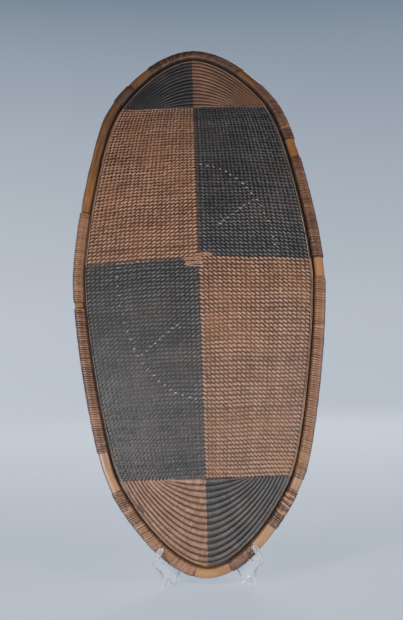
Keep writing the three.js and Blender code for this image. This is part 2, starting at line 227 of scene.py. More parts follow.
def make_object(name, verts, faces, material, attributes=None):
    """A smooth mesh object from points, lists of equal-sized faces and values for each point."""
    mesh = bpy.data.meshes.new(name)
    if signed_volume(verts, faces) < 0:
        faces = [f[:, ::-1] for f in faces]
    loops = np.concatenate([f.ravel() for f in faces]).astype(np.int32)
    totals = np.concatenate([np.full(len(f), f.shape[1]) for f in faces]).astype(np.int32)
    starts = np.concatenate([[0], np.cumsum(totals)[:-1]]).astype(np.int32)
    mesh.vertices.add(len(verts))
    mesh.vertices.foreach_set("co", verts.astype(np.float32).ravel())
    mesh.loops.add(len(loops))
    mesh.loops.foreach_set("vertex_index", loops)
    mesh.polygons.add(len(totals))
    mesh.polygons.foreach_set("loop_start", starts)
    mesh.polygons.foreach_set("loop_total", totals)
    mesh.polygons.foreach_set("use_smooth", np.ones(len(totals), bool))
    for key, values in (attributes or {}).items():
        layer = mesh.attributes.new(key, "FLOAT", "POINT")
        layer.data.foreach_set("value", np.asarray(values, np.float32).ravel())
    mesh.update()
    mesh.validate()
    obj = bpy.data.objects.new(name, mesh)
    bpy.context.scene.collection.objects.link(obj)
    obj.data.materials.append(material)
    return obj


def tubes(centre, side, up, sides):
    """Closed tubes: centre, side and up are (tubes, points, 3), with side and up as half sizes."""
    count, points, _ = centre.shape
    angle = 2 * math.pi * np.arange(sides) / sides
    ring = centre[:, :, None] + side[:, :, None] * np.cos(angle)[:, None]
    ring = ring + up[:, :, None] * np.sin(angle)[:, None]
    verts = np.concatenate([ring.reshape(-1, 3), centre[:, 0], centre[:, -1]])
    t, p, k = np.meshgrid(np.arange(count), np.arange(points - 1), np.arange(sides), indexing="ij")
    after = (k + 1) % sides
    row = (t * points + p) * sides
    quads = np.stack([row + k, row + after, row + sides + after, row + sides + k], -1).reshape(-1, 4)
    t, k = np.meshgrid(np.arange(count), np.arange(sides), indexing="ij")
    first = t * points * sides
    last = first + (points - 1) * sides
    base = count * points * sides
    after = (k + 1) % sides
    caps = np.concatenate([
        np.stack([base + t, first + after, first + k], -1).reshape(-1, 3),
        np.stack([base + count + t, last + k, last + after], -1).reshape(-1, 3),
    ])
    return verts, [quads, caps]


def per_point(values, sides):
    """Values for each tube point, spread to the points of its mesh."""
    values = np.asarray(values, float)
    rings = np.repeat(values.reshape(-1), sides)
    return np.concatenate([rings, values[:, 0], values[:, -1]])


def ring_quads(points, sides):
    """Faces of a closed hoop."""
    p, k = np.meshgrid(np.arange(points), np.arange(sides), indexing="ij")
    row = p * sides
    following = (p + 1) % points * sides
    after = (k + 1) % sides
    return np.stack([row + k, row + after, following + after, following + k], -1).reshape(-1, 4)


def ring_tube(centre, side, up, sides):
    """A closed hoop: centre, side and up are (points, 3)."""
    angle = 2 * math.pi * np.arange(sides) / sides
    verts = centre[:, None] + side[:, None] * np.cos(angle)[:, None] + up[:, None] * np.sin(angle)[:, None]
    return verts.reshape(-1, 3), [ring_quads(len(centre), sides)]


def left_of(run):
    """Flat directions square to flat directions."""
    return np.stack([-run[..., 1], run[..., 0], np.zeros(run.shape[:-1])], -1)


def frontward(sizes):
    """Flat vectors straight out of the front."""
    zero = np.zeros_like(sizes)
    return np.stack([zero, zero, sizes], -1)


def flat_tubes(path, width, height, sides):
    """Tubes laid on the shield: path is (tubes, points, 3) in flat places."""
    run = np.gradient(path, axis=1)
    run[..., 2] = 0
    run /= np.maximum(np.linalg.norm(run, axis=-1, keepdims=True), LEAST_STEP)
    side = left_of(run) * np.broadcast_to(width, path.shape[:-1])[..., None]
    up = frontward(np.broadcast_to(height, path.shape[:-1]))
    verts, faces = tubes(path, side, up, sides)
    return place(verts), faces


def finish_piece(obj, slot, *nodes):
    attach(obj, "root")
    if nodes:
        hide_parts(*nodes)


def strands(name, path, width, height, material, slot, sides=STRAND_SIDES, **values):
    """A piece made of tubes laid on the shield, with values for the points of their paths."""
    verts, faces = flat_tubes(path, width, height, sides)
    attributes = {key: per_point(np.broadcast_to(value, path.shape[:-1]), sides)
                  for key, value in values.items()}
    finish_piece(make_object(name, verts, faces, material, attributes), slot)


# Materials

# The strand's streaks: their fineness, the middle of the noise, and what they do to tone and roughness
STREAK_SCALE = 900
STREAK_RANGE = (0.3, 0.7)
STREAK_TONE = (-0.12, 0.37)
STREAK_ROUGHNESS = (0.36, 0.58)
OWN_TONE = 0.75
PATCH_SCALE = 14
PATCH_RANGE = (0.48, 0.72)

# Strands: the dark colour, which paints shade in the hollows, the light colour, which paints highlight on
# the crowns, the colour where worn, and how much is worn
BROWN_WORN = (0.240, 0.112, 0.048, 1)
BLACK_WORN = (0.110, 0.070, 0.045, 1)
FIELD_BROWN = ((0.060, 0.026, 0.014, 1), (0.410, 0.218, 0.128, 1), BROWN_WORN, 0.45)
FIELD_BLACK = ((0.010, 0.009, 0.009, 1), (0.094, 0.087, 0.085, 1), BLACK_WORN, 0.30)
# The panel under the strands: dark colours that paint shade between the strands
SHADOWED_GROUND_BROWN = ((0.020, 0.010, 0.006, 1), (0.150, 0.075, 0.042, 1), BROWN_WORN, 0.3)
SHADOWED_GROUND_BLACK = ((0.006, 0.006, 0.006, 1), (0.045, 0.040, 0.038, 1), BLACK_WORN, 0.2)

# Bumps: strength, and depth in metres
FIELD_BUMP = (0.25, 0.0006)
GROUND_BUMP = (0.4, 0.001)
CANE_BUMP = (0.22, 0.0006)
WOOD_BUMP = (0.2, 0.0008)

CANE_WORN = (0.09, 0.035, 0.016, 1)
CANE_WEAR = 0.5
# Dark colour that the shade value mixes into cane: painted shade on the rim, a small even darkening
# elsewhere
CANE_SHADE_COLOUR = (0.022, 0.012, 0.008, 1)
SMOOTHER = 0.1
ROUGHER = 0.14
WOOD_DARK = (0.070, 0.030, 0.013, 1)
WOOD_LIGHT = (0.230, 0.110, 0.050, 1)
WOOD_PORES = (0.050, 0.022, 0.010, 1)
CLEAR_TINT = (0.97, 0.985, 1.0, 1)
CLEAR_TRANSMISSION = 0.86
CLEAR_INDEX = 1.5


def new_material(name):
    material = bpy.data.materials.new(name)
    material.use_nodes = True
    tree = material.node_tree
    return material, tree, tree.nodes["Principled BSDF"]


def attribute(tree, name):
    node = tree.nodes.new("ShaderNodeAttribute")
    node.attribute_name = name
    return node.outputs["Fac"]


def noise(tree, scale, detail, stretch=None):
    node = tree.nodes.new("ShaderNodeTexNoise")
    node.inputs["Scale"].default_value = scale
    node.inputs["Detail"].default_value = detail
    link = tree.nodes.new("ShaderNodeTexCoord").outputs["Object"]
    if stretch:
        mapping = tree.nodes.new("ShaderNodeMapping")
        mapping.inputs["Scale"].default_value = stretch
        tree.links.new(link, mapping.inputs["Vector"])
        link = mapping.outputs["Vector"]
    tree.links.new(link, node.inputs["Vector"])
    return node.outputs["Fac"]


def feed(tree, value, socket):
    """Sets a socket to a constant, or links it."""
    if isinstance(value, (int, float, tuple)):
        socket.default_value = value
    else:
        tree.links.new(value, socket)


def mix_colour(tree, factor, a, b):
    node = tree.nodes.new("ShaderNodeMix")
    node.data_type = "RGBA"
    for value, at in ((factor, 0), (a, 6), (b, 7)):
        feed(tree, value, node.inputs[at])
    return node.outputs[2]


def spread(tree, value, low, high, to_low=0.0, to_high=1.0):
    node = tree.nodes.new("ShaderNodeMapRange")
    for given, label in ((value, "Value"), (low, "From Min"), (high, "From Max"),
                         (to_low, "To Min"), (to_high, "To Max")):
        feed(tree, given, node.inputs[label])
    return node.outputs["Result"]


def math_node(tree, operation, a, b):
    node = tree.nodes.new("ShaderNodeMath")
    node.operation = operation
    feed(tree, a, node.inputs[0])
    feed(tree, b, node.inputs[1])
    return node.outputs[0]


def fibre_group():
    """Colour of one strand: its own tone, fine streaks and worn patches."""
    group = bpy.data.node_groups.new("strand colour", "ShaderNodeTree")
    for way, label, kind in (
        ("INPUT", "Dark", "Color"), ("INPUT", "Light", "Color"), ("INPUT", "Worn", "Color"),
        ("INPUT", "Wear", "Float"), ("OUTPUT", "Color", "Color"), ("OUTPUT", "Roughness", "Float"),
        ("OUTPUT", "Height", "Float"),
    ):
        group.interface.new_socket(label, in_out=way, socket_type="NodeSocket" + kind)
    given = group.nodes.new("NodeGroupInput")
    put = group.nodes.new("NodeGroupOutput")
    tone = attribute(group, "tone")
    streak = noise(group, STREAK_SCALE, 2)
    patch = noise(group, PATCH_SCALE, 4)
    level = math_node(group, "ADD", math_node(group, "MULTIPLY", tone, OWN_TONE),
                      spread(group, streak, *STREAK_RANGE, *STREAK_TONE))
    base = mix_colour(group, level, given.outputs["Dark"], given.outputs["Light"])
    worn = math_node(group, "MULTIPLY", spread(group, patch, *PATCH_RANGE), given.outputs["Wear"])
    group.links.new(mix_colour(group, worn, base, given.outputs["Worn"]), put.inputs["Color"])
    group.links.new(spread(group, streak, *STREAK_RANGE, *STREAK_ROUGHNESS), put.inputs["Roughness"])
    group.links.new(streak, put.inputs["Height"])
    return group


STRAND = fibre_group()


def strand_colour(tree, dark, light, worn, wear):
    node = tree.nodes.new("ShaderNodeGroup")
    node.node_tree = STRAND
    for label, value in (("Dark", dark), ("Light", light), ("Worn", worn), ("Wear", wear)):
        node.inputs[label].default_value = value
    return node


def bump(tree, shader, height, strength, distance):
    node = tree.nodes.new("ShaderNodeBump")
    node.inputs["Strength"].default_value = strength
    node.inputs["Distance"].default_value = distance
    tree.links.new(height, node.inputs["Height"])
    tree.links.new(node.outputs["Normal"], shader.inputs["Normal"])


def dyed_fibre(name, browns, blacks, relief):
    """Dyed and natural strands, told apart by the dye value of each strand."""
    material, tree, shader = new_material(name)
    brown = strand_colour(tree, *browns)
    black = strand_colour(tree, *blacks)
    dye = attribute(tree, "dye")
    colour = mix_colour(tree, dye, brown.outputs["Color"], black.outputs["Color"])
    tree.links.new(colour, shader.inputs["Base Color"])
    tree.links.new(brown.outputs["Roughness"], shader.inputs["Roughness"])
    bump(tree, shader, brown.outputs["Height"], *relief)
    return material


def cane(name, dark, light, rough):
    """Split cane: its own tone, fine streaks and painted shade mixed in by its shade value."""
    material, tree, shader = new_material(name)
    strand = strand_colour(tree, dark, light, CANE_WORN, CANE_WEAR)
    shade = attribute(tree, "shade")
    colour = mix_colour(tree, shade, strand.outputs["Color"], CANE_SHADE_COLOUR)
    tree.links.new(colour, shader.inputs["Base Color"])
    roughness = spread(tree, strand.outputs["Roughness"], *STREAK_ROUGHNESS,
                       rough - SMOOTHER, rough + ROUGHER)
    tree.links.new(roughness, shader.inputs["Roughness"])
    bump(tree, shader, strand.outputs["Height"], *CANE_BUMP)
    return material


def grip_wood():
    """Dark wood with broad bands and fine pores that run up and down."""
    material, tree, shader = new_material("grip_wood")
    rings = noise(tree, 60, 4, (1.0, 1.0, 0.08))
    fine = noise(tree, 400, 2, (1.0, 1.0, 0.05))
    colour = mix_colour(tree, spread(tree, rings, 0.35, 0.68), WOOD_DARK, WOOD_LIGHT)
    colour = mix_colour(tree, spread(tree, fine, 0.45, 0.75, 0.0, 0.5), colour, WOOD_PORES)
    tree.links.new(colour, shader.inputs["Base Color"])
    tree.links.new(spread(tree, fine, 0.3, 0.7, 0.38, 0.56), shader.inputs["Roughness"])
    bump(tree, shader, fine, *WOOD_BUMP)
    return material


def clear_plastic():
    """Clear plastic with light scuffs."""
    material, tree, shader = new_material("clear_plastic")
    shader.inputs["Base Color"].default_value = CLEAR_TINT
    shader.inputs["Transmission Weight"].default_value = CLEAR_TRANSMISSION
    shader.inputs["IOR"].default_value = CLEAR_INDEX
    scuff = noise(tree, 90, 3)
    tree.links.new(spread(tree, scuff, 0.45, 0.75, 0.03, 0.12), shader.inputs["Roughness"])
    return material


FIBRE = dyed_fibre("twined_fibre", FIELD_BROWN, FIELD_BLACK, FIELD_BUMP)
GROUND = dyed_fibre("shadowed_ground_fibre", SHADOWED_GROUND_BROWN, SHADOWED_GROUND_BLACK, GROUND_BUMP)
STRIP = cane("cane_strip", (0.022, 0.010, 0.007, 1), (0.300, 0.140, 0.066, 1), 0.36)
BARE = cane("bare_cane", (0.042, 0.022, 0.014, 1), (0.340, 0.152, 0.050, 1), 0.34)
PALE = cane("pale_strand", (0.050, 0.034, 0.024, 1), (0.560, 0.400, 0.270, 1), 0.5)
WOOD = grip_wood()
CLEAR = clear_plastic()


# Colour fields: near the crossing the border steps aside, above to the right and below to the left

RUN_OVER_ABOVE = 0.009
RUN_OVER_BELOW = 0.018
RUN_OVER_RIGHT = 0.026
RUN_OVER_LEFT = 0.024


def dye_at(across, along):
    """1 where the strands are dyed black, 0 where they are brown."""
    rise = along - CROSSING
    border = np.where((rise > 0) & (rise < RUN_OVER_ABOVE), RUN_OVER_RIGHT, 0.0)
    border = np.where((rise < 0) & (rise > -RUN_OVER_BELOW), -RUN_OVER_LEFT, border)
    right = across > border
    upper = rise > 0
    in_tip = (along > FIELD_TOP) | (along < FIELD_BOTTOM)
    return (right == upper) ^ in_tip


# The woven body

# Unevenness of the rows: height in metres, and waves by distance across, distance along and start
RIPPLE = 0.0007
RIPPLE_WAVES = ((47, 11, 0), (23, -31, 2))
BLOTCH_WAVES = 7
BLOTCH_LEVEL = 3
WIDER_AMIDST = 0.10
CLOSER_ABOVE = 0.14
ROW_BOW_START = 0.20
ROW_BOW_RISE = 0.009

# One grain of the twist: shares of its stitch, then sizes in metres
GRAIN_LENGTH = 0.55
GRAIN_SLANT = 0.23
GRAIN_THICKNESS = 0.26
GRAIN_STEPS = 6
GRAIN_LIFT = 0.0030
GRAIN_SINK = 0.0004
GRAIN_ARCH = 1.45
GRAIN_HEIGHT = 0.0016

# How uneven the grains are: place, slant, lift, and tone by stitch, row, column and patch
UNEVEN_ACROSS = 0.0003
UNEVEN_ALONG = 0.00022
UNEVEN_ROW = 0.0003
UNEVEN_SLANT = 0.05
UNEVEN_LIFT = 0.0003
FIELD_TONE = 0.46
STITCH_TONE = 0.09
ROW_TONE = 0.08
COLUMN_TONE = 0.07
PATCH_TONE = 0.10
# Painted highlight on each grain's crown and painted shade at its ends
CROWN_PAINTED_SHADING = 0.42
CROWN_ARCH = 1.5
CROWN_MIDDLE = 0.55


def row_places():
    """Where the rows lie: a little wider apart at mid length than near the tips."""
    t = (np.arange(FIELD_ROWS) + 0.5) / FIELD_ROWS
    pitch = 1 + WIDER_AMIDST * np.sin(math.pi * t) - CLOSER_ABOVE * t ** 3
    ends = np.concatenate([[0], np.cumsum(pitch)])
    ends = FIELD_BOTTOM + (FIELD_TOP - FIELD_BOTTOM) * ends / ends[-1]
    return (ends[1:] + ends[:-1]) / 2, np.diff(ends)


def ripple(across, along):
    """Slow unevenness of hand work, in metres."""
    return RIPPLE * sum(np.sin(across * a + along * b + start) for a, b, start in RIPPLE_WAVES)


def blotch(across, along, size, seed):
    """Slow patches of lighter and darker work, mostly between -1 and 1."""
    spin = np.random.default_rng(seed)
    total = np.zeros(np.broadcast(across, along).shape)
    for _ in range(BLOTCH_WAVES):
        heading, phase = spin.uniform(0, 2 * math.pi, 2)
        wave = 2 * math.pi / size * spin.uniform(0.6, 1.9)
        total = total + np.sin(wave * (across * math.cos(heading) + along * math.sin(heading)) + phase)
    return total / BLOTCH_LEVEL


def row_bow(across, along, half):
    """The uppermost rows curve up a little towards the rim."""
    near_top = np.clip((along - ROW_BOW_START) / (FIELD_TOP - ROW_BOW_START), 0, 1)
    return ROW_BOW_RISE * near_top ** 2 * (across / half) ** 2


def field(name, rows, side):
    """Twined strands of one colour field: every stitch is a slanted grain of the two-strand twist."""
    along, pitch = row_places()
    along, pitch = along[rows], pitch[rows]
    columns = (np.arange(STITCHES_PER_SIDE) + 0.5) / STITCHES_PER_SIDE
    half = field_half(along, side)
    row_at, q = np.meshgrid(np.arange(len(along)), columns, indexing="ij")
    row_at = row_at.ravel()
    level = along[row_at]
    across = side * q.ravel() * half[row_at]
    wide = half[row_at] / STITCHES_PER_SIDE
    tall = pitch[row_at]
    t = np.linspace(-1, 1, GRAIN_STEPS)
    aside, tilt, drop, raised, lighter = rng.normal(0, 1, (5, len(across)))
    row_drop, row_lighter = rng.normal(0, 1, (2, len(along)))[:, row_at]
    x = across[:, None] + GRAIN_LENGTH * wide[:, None] * t + UNEVEN_ACROSS * aside[:, None]
    slant = -side * (GRAIN_SLANT + UNEVEN_SLANT * tilt) * tall
    y = level[:, None] + slant[:, None] * np.sin(t * math.pi / 2)
    y = y + ripple(x, y) + row_bow(x, y, half[row_at][:, None])
    y = y + (UNEVEN_ALONG * drop + UNEVEN_ROW * row_drop)[:, None]
    lift = GRAIN_LIFT + UNEVEN_LIFT * raised[:, None]
    n = GROUND_FRONT - GRAIN_SINK + lift * np.cos(t * GRAIN_ARCH)
    thick = tall[:, None] * GRAIN_THICKNESS * (1.04 - 0.5 * t ** 2)
    height = GRAIN_HEIGHT * (1 - 0.4 * t ** 4)
    patches = blotch(across, level * 2.5, 0.22, 5) + 0.7 * blotch(across, level, 0.07, 8)
    column_lighter = np.tile(rng.normal(0, 1, STITCHES_PER_SIDE), len(along))
    tone = FIELD_TONE + STITCH_TONE * lighter + ROW_TONE * row_lighter
    tone = tone + COLUMN_TONE * column_lighter + PATCH_TONE * patches
    # Along each grain: painted highlight on the crown, painted shade at the ends where it dips
    tone = np.clip(tone[:, None] + CROWN_PAINTED_SHADING * (np.cos(t * CROWN_ARCH) - CROWN_MIDDLE), 0, 1)
    path = np.stack([x, y, n], -1)
    dye = dye_at(across, level)[:, None]
    strands(name, path, thick, height, FIBRE, "twined_fibre", tone=tone, dye=dye)


def fields():
    along, _ = row_places()
    upper = np.where(along > CROSSING)[0]
    lower = np.where(along <= CROSSING)[0]
    for name, rows, side in (("field_upper_left", upper, -1), ("field_upper_right", upper, 1),
                             ("field_lower_left", lower, -1), ("field_lower_right", lower, 1)):
        field(name, rows, side)


# The long strands at the crossing
CROSSING_STRANDS = 7
CROSSING_LOW = -0.017
CROSSING_HIGH = 0.0085
CROSSING_ASIDE = 0.010
CROSSING_REACH = 0.019
CROSSING_UNEVEN = 0.003
CROSSING_LIFT = 0.0044
CROSSING_TUCK = 0.0034


def crossing_strands():
    """Long loose strands that lie over the place where the four fields meet."""
    t = np.linspace(-1, 1, 17)
    level = np.linspace(CROSSING_LOW, CROSSING_HIGH, CROSSING_STRANDS)[:, None]
    middle = np.where(level > 0, CROSSING_ASIDE, -CROSSING_ASIDE)
    middle = middle + rng.normal(0, CROSSING_UNEVEN, level.shape)
    reach = CROSSING_REACH + rng.normal(0, CROSSING_UNEVEN, level.shape)
    x = middle + reach * t
    y = CROSSING + level + 0.0009 * np.sin(t * 3 + level * 900)
    n = GROUND_FRONT + CROSSING_LIFT - CROSSING_TUCK * t ** 6 + 0 * x
    width = 0.0012 * (1 - 0.4 * t ** 6)
    tone = np.clip(0.36 + 0.16 * rng.normal(0, 1, level.shape), 0, 1)
    path = np.stack([x, y, n], -1)
    strands("crossing_strands", path, width, 0.0008, FIBRE, "twined_fibre", tone=tone, dye=0)


# The tips: ribs, the weft wound on them, and the hole in the lower left one
TIP_RIBS = 13
TIP_FLAT = 0.068
RIB_POINTS = 400
RIB_EDGES = (0.03, 0.5, 0.97)
RIB_SIDES = 7
RIB_HEIGHT = 0.0030
RIB_RISE = 0.0010
RIB_UNEVEN = 0.0003
WRAP = 0.0030
WRAP_STEPS = 3
WRAP_GROOVE = 0.16
BEYOND_LINE = 1.02
HOLE_PLACE = (-0.128, -0.452)
HOLE_SIZE = 0.0080
HOLE_FRAY = 0.003
HOLE_THREAD = 0.08

# Name, the line where the tip starts, side and base tone; the upper tips' lower base tone is painted shade
TIPS = (
    ("tip_upper_left", FIELD_TOP, -1, -0.26),
    ("tip_upper_right", FIELD_TOP, 1, -0.22),
    ("tip_lower_left", FIELD_BOTTOM, -1, 0.05),
    ("tip_lower_right", FIELD_BOTTOM, 1, -0.08),
)


def tip_rib(line, level, side):
    """Flat points along one rib of a tip, from the middle line out to the tip line."""
    sign = math.copysign(1, line)
    half = float(edge_half(line))
    reach = np.linspace(0, 1, RIB_POINTS)
    depths = np.linspace(0, HALF_LENGTH - FIELD_INSET - abs(line), RIB_POINTS)
    widths = edge_half(sign * (abs(line) + depths))
    edge_depth = np.interp(reach * half, widths[::-1], depths[::-1])
    start = TIP_FLAT + (half - TIP_FLAT) * level
    return np.stack([side * start * reach, line + sign * level * edge_depth], -1)


def rib_route(line, rib, side):
    """Points along the middle of a rib in steps of its weft, and half widths there."""
    low, middle, high = [tip_rib(line, (rib + k) / TIP_RIBS, side) for k in RIB_EDGES]
    steps = np.linalg.norm(np.diff(middle, axis=0), axis=1)
    run = np.concatenate([[0], np.cumsum(steps)])
    turns = max(int(run[-1] / WRAP), 2)
    at = np.linspace(0, run[-1], turns * WRAP_STEPS + 1)
    low, middle, high = [np.stack([np.interp(at, run, p[:, i]) for i in (0, 1)], -1)
                         for p in (low, middle, high)]
    return middle, np.linalg.norm(high - low, axis=1) / 2


def tip(name, line, side, base_tone_and_top_shade):
    """A quarter of the ribs: bundles wound closely with fine weft."""
    verts, faces, tone, dye, offset = [], [], [], [], 0
    colour = float(dye_at(side, line * BEYOND_LINE))
    for rib in range(TIP_RIBS):
        points, wide = rib_route(line, rib, side)
        count = len(points)
        phase = np.arange(count) % WRAP_STEPS
        swell = 1 - WRAP_GROOVE * (phase == 0)
        gap = np.hypot(*(points - HOLE_PLACE).T)
        broken = np.clip((gap - HOLE_SIZE) / HOLE_FRAY, HOLE_THREAD, 1)
        high = np.full(count, GROUND_FRONT + RIB_RISE) + RIB_UNEVEN * np.sin(rib * 1.7)
        path = np.concatenate([points, high[:, None]], -1)[None]
        v, f = flat_tubes(path, wide * swell * broken, RIB_HEIGHT * swell * broken, RIB_SIDES)
        verts.append(v)
        faces.append([part + offset for part in f])
        offset += len(v)
        uneven = np.repeat(rng.normal(0, 1, count // WRAP_STEPS + 1), WRAP_STEPS)[:count]
        shade = base_tone_and_top_shade + 0.06 * rng.normal() + 0.12 * uneven
        shade = shade + 0.12 * blotch(*points.T, 0.06, 3)
        # Each turn's groove step is painted darker as shade, and the ribs at the hole are painted dark as
        # its shade
        shade = np.clip(shade + 0.22 * (phase > 0) - 0.10 - 0.8 * (1 - broken), 0, 1)
        tone.append(per_point(shade[None], RIB_SIDES))
        dye.append(np.full(len(v), colour))
    joined = [np.concatenate([f[i] for f in faces]) for i in (0, 1)]
    values = {"tone": np.concatenate(tone), "dye": np.concatenate(dye)}
    finish_piece(make_object(name, np.concatenate(verts), joined, FIBRE, values), "twined_fibre")


GROUND_INSET = 0.020
GROUND_SIZE = (220, 64)
GROUND_LEAST_HALF = 0.0008
GROUND_TONE = 0.22


def ground():
    """The closed panel under the strands, coloured dark as painted shade between them."""
    half = half_at(GROUND_INSET)
    end = HALF_LENGTH - GROUND_INSET
    lines, columns = GROUND_SIZE
    along = end * np.sin(np.linspace(-math.pi / 2, math.pi / 2, lines + 1))
    q = np.linspace(-1, 1, columns + 1)
    a, k = np.meshgrid(along, q, indexing="ij")
    x = k * np.maximum(half(a), GROUND_LEAST_HALF)
    sheet = [place(np.stack([x, a, 0 * a + n], -1)).reshape(-1, 3) for n in (GROUND_FRONT, BODY_BACK)]
    width = columns + 1
    i, j = np.meshgrid(np.arange(lines), np.arange(columns), indexing="ij")
    corner = i * width + j
    quad = np.stack([corner, corner + 1, corner + width + 1, corner + width], -1).reshape(-1, 4)
    count = len(sheet[0])
    rim = np.concatenate([np.arange(columns), np.arange(lines) * width + columns,
                          lines * width + np.arange(columns, 0, -1), np.arange(lines, 0, -1) * width])
    nxt = np.roll(rim, -1)
    wall = np.stack([nxt, rim, rim + count, nxt + count], -1)
    faces = [np.concatenate([quad, quad[:, ::-1] + count, wall])]
    dye = dye_at(x, a).astype(float).ravel()
    values = {"tone": np.full(2 * count, GROUND_TONE), "dye": np.concatenate([dye, dye])}
    obj = make_object("woven_ground", np.concatenate(sheet), faces, GROUND, values)
    finish_piece(obj, "twined_fibre", "woven_body")


BACK_ROWS_END = 0.545
BACK_ROW_INSET = RIM_WIDTH + 0.001
BACK_ROW_LEAST_HALF = 0.02
BACK_ROW_STAND = 0.0005
BACK_ROW_SIDES = 5


def back_rows():
    """The rows as they show on the back, plainer than on the front."""
    half = half_at(BACK_ROW_INSET)
    pitch = (FIELD_TOP - FIELD_BOTTOM) / FIELD_ROWS
    along = np.arange(-BACK_ROWS_END, BACK_ROWS_END, pitch)
    along = along[half(along) > BACK_ROW_LEAST_HALF]
    q = np.linspace(-1, 1, 4 * STITCHES_PER_SIDE + 1)
    a, k = np.meshgrid(along, q, indexing="ij")
    x = k * half(a)
    stitch = np.arange(len(q)) % 2
    drop, lighter = rng.normal(0, 1, (2, *a.shape))
    y = a + 0.0005 * (stitch - 0.5) + 0.0002 * drop
    path = np.stack([x, y, 0 * a + BODY_BACK - BACK_ROW_STAND], -1)
    thick = pitch * (0.38 + 0.12 * stitch)
    height = 0.0013 + 0.0008 * stitch
    tone = 0.34 + 0.26 * stitch + 0.08 * lighter + 0.12 * blotch(x, a * 2, 0.2, 11)
    strands("woven_back_rows", path, thick, height, FIBRE, "twined_fibre", BACK_ROW_SIDES,
            tone=np.clip(tone, 0, 1), dye=dye_at(x, a))


# The rim

# Where the wound stretches start and end, as distances round the rim from the upper tip
WOUND = (
    (0.190, 0.364), (0.411, 0.648), (0.690, 1.093), (1.117, 1.199), (1.251, 1.314),
    (1.391, 1.614), (1.691, 1.984), (1.993, 2.192), (2.482, 2.538), (2.604, 2.856),
)
# Tone of the rim by distance round it: where a stretch starts, and how light it is
RIM_TONES = (
    (0.000, 0.16), (0.130, 0.34), (0.190, 0.24), (0.270, 0.06), (0.300, 0.44), (0.325, 0.08),
    (0.364, 0.78), (0.411, 0.12), (0.445, 0.28), (0.550, 0.14), (0.648, 0.84), (0.690, 0.60),
    (0.780, 0.46), (1.040, 0.84), (1.060, 0.36), (1.093, 0.80), (1.117, 0.06), (1.199, 0.82),
    (1.251, 0.16), (1.314, 0.84), (1.391, 0.50), (1.530, 0.20), (1.614, 0.84), (1.691, 0.14),
    (1.740, 0.42), (1.780, 0.20), (1.984, 0.38), (2.050, 0.54), (2.192, 0.42), (2.280, 0.32),
    (2.360, 0.20), (2.482, 0.04), (2.538, 0.34), (2.604, 0.10),
)
# Single pale turns of the strip
PALE_TURNS = (1.130, 1.141, 1.151, 1.166, 1.532, 1.570, 0.795, 0.330)
PALE_TONE = 0.95

RIM_SECTION_POWER = 0.82
# Painted shade on the rim: where it starts round the section, how dark outside and inside, and its share
SHADE_FROM = 0.60
SHADE_OUTSIDE = 0.85
SHADE_INSIDE = 0.8
SHADE_SHARE = 0.9
HOOP_SIDES = 32
HOOP_POINTS = 900
HOOP_SINK = 0.75
STREAK_KNOTS = np.linspace(0, RIM_LENGTH, 110)
STREAK_LEVEL = 0.13
# Painted shadow: the hoop under the wound stretches is dark, so dark gaps show between the strip's turns
SHADOW_UNDER_WINDING_TONE = 0.02
SHADOW_UNDER_WINDING_SHADE = 0.6

# The strip: points to a turn, and how far it leans, most of all a little to the right of the upper tip
TURN_POINTS = 20
STRIP_LEAN = 0.0012
STEEP_LEAN = 0.006
STEEP_PLACE = 0.10
STEEP_REACH = 0.20


def rim_tone(run):
    starts, tones = np.array(RIM_TONES).T
    wrapped = np.asarray(run) % RIM_LENGTH
    return tones[np.searchsorted(starts, wrapped, side="right") - 1]


def rim_surface(run, angle, grow):
    """A place on the rim's flattened round section, and the direction out of it there."""
    centre, out, ahead = rim_frame(run)
    c, s = np.cos(angle)[..., None], np.sin(angle)[..., None]
    x = np.sign(c) * np.abs(c) ** RIM_SECTION_POWER * (RIM_WIDTH / 2 + grow)
    y = np.sign(s) * np.abs(s) ** RIM_SECTION_POWER * (RIM_DEPTH / 2 + grow)
    normal = out * c + ahead * s
    return centre + out * x + ahead * y, normal


def hoop_shade(angle):
    """Painted shade on the outer edge and in the inner groove."""
    outer = np.clip((np.cos(angle) - SHADE_FROM) / (1 - SHADE_FROM), 0, 1) * SHADE_OUTSIDE
    inner = np.clip((-np.cos(angle) - SHADE_FROM) / (1 - SHADE_FROM), 0, 1) * SHADE_INSIDE
    return np.maximum(outer, inner) * SHADE_SHARE


def rim_hoop():
    """The cane hoop, smooth and streaked where it is bare, with painted shade on its edges and painted
    shadow under the wound stretches.
    """
    run = np.linspace(0, RIM_LENGTH, HOOP_POINTS, endpoint=False)
    r, k = np.meshgrid(run, 2 * math.pi * np.arange(HOOP_SIDES) / HOOP_SIDES, indexing="ij")
    swell = 0.00035 * np.sin(r * 37) + 0.00025 * np.sin(r * 91 + k * 2)
    verts, _ = rim_surface(r, k, (-STRIP_THICKNESS * HOOP_SINK + swell)[..., None])
    streaks = rng.normal(0, 1, (len(STREAK_KNOTS), HOOP_SIDES))
    streak = np.stack([np.interp(run, STREAK_KNOTS, column) for column in streaks.T], -1)
    wound = np.zeros(len(run), bool)
    for start, end in WOUND:
        wound |= ((run > start) & (run < end)) | (run + RIM_LENGTH < end)
    tone = np.where(wound[:, None], SHADOW_UNDER_WINDING_TONE, rim_tone(r) + STREAK_LEVEL * streak - 0.05)
    shade = np.where(wound[:, None], SHADOW_UNDER_WINDING_SHADE, hoop_shade(k))
    values = {"tone": np.clip(tone, 0, 1).ravel(), "shade": shade.ravel()}
    obj = make_object("rim_cane", verts.reshape(-1, 3), [ring_quads(len(run), HOOP_SIDES)], BARE, values)
    finish_piece(obj, "bare_cane", "rim_hoop")


